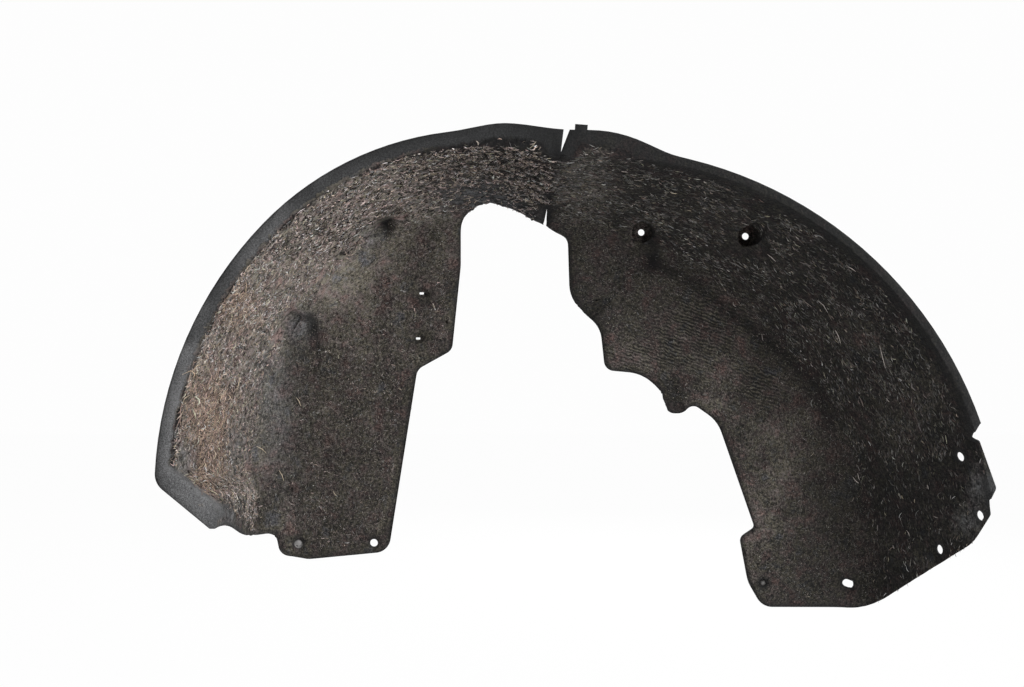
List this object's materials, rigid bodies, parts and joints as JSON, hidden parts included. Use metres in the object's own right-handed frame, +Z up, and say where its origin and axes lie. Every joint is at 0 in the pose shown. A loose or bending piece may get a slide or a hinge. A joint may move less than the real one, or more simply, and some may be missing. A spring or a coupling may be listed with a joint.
{
  "type": "wheel arch liner",
  "caption": "Moulded felt shell that lines a car's rear wheel arch, with a pressed lip, a strut opening, fold slits and holes for push-in fasteners.",
  "frame": {"origin": "middle of the sill hole, on the wheel side of the inner wall", "axes": "+X along the car towards the bumper, +Y inboard from the wheel to the inner wall, +Z up"},
  "size_m": [0.8414, 0.21, 0.5282],
  "materials": {
    "felt": "needled charcoal felt, dusty, with hay and lint caught in it"
  },
  "bodies": {
    "root": {"arch_liner": "felt"}
  },
  "joints": []
}
